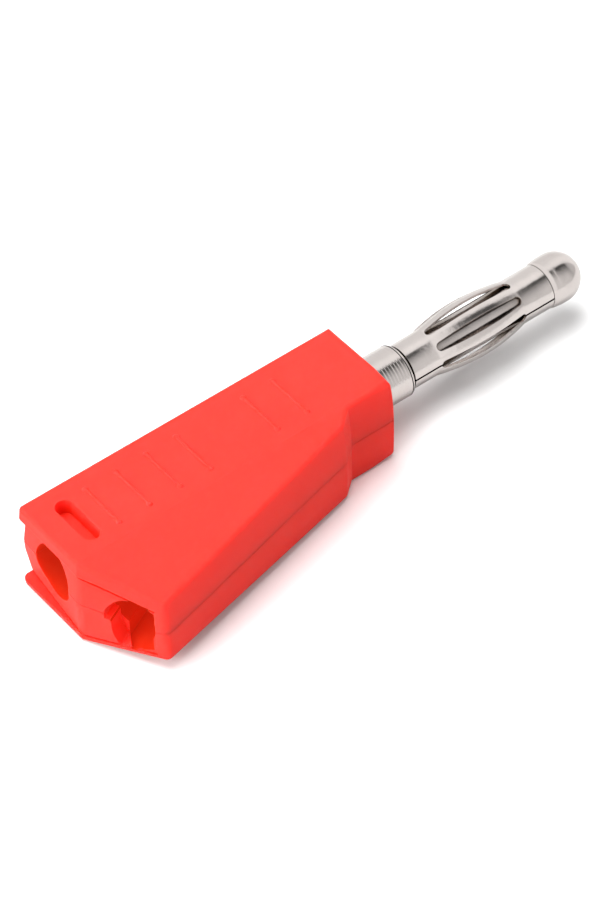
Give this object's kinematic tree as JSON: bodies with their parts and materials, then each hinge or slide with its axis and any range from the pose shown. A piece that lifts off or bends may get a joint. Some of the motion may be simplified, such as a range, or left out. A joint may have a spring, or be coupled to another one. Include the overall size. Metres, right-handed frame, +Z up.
{
  "type": "stackable banana plug",
  "caption": "Red stackable 4 mm test plug: spring pin in front, socket in line behind it, cable entry beside the socket.",
  "frame": {"origin": "middle of the plug's bounding box in plan, at the flat underside that it lies on", "axes": "+X along the plug axis towards the pin's nose, +Y towards the straight side, away from the cable wing, +Z up out of the ribbed top"},
  "size_m": [0.0486, 0.0136, 0.008],
  "materials": {
    "red_plastic": "satin moulded",
    "nickel_plate": "nickel plated, fine turned",
    "nickel_spring": "nickel plated sheet, polished",
    "barrel_plate": "nickel plated, dull",
    "screw_steel": "zinc plated"
  },
  "bodies": {
    "root": {"upper_shell": "red_plastic", "lower_shell": "red_plastic", "plug_pin": "nickel_plate", "contact_spring": "nickel_spring", "socket_barrel": "barrel_plate", "clamp_screw": "screw_steel"}
  },
  "joints": []
}
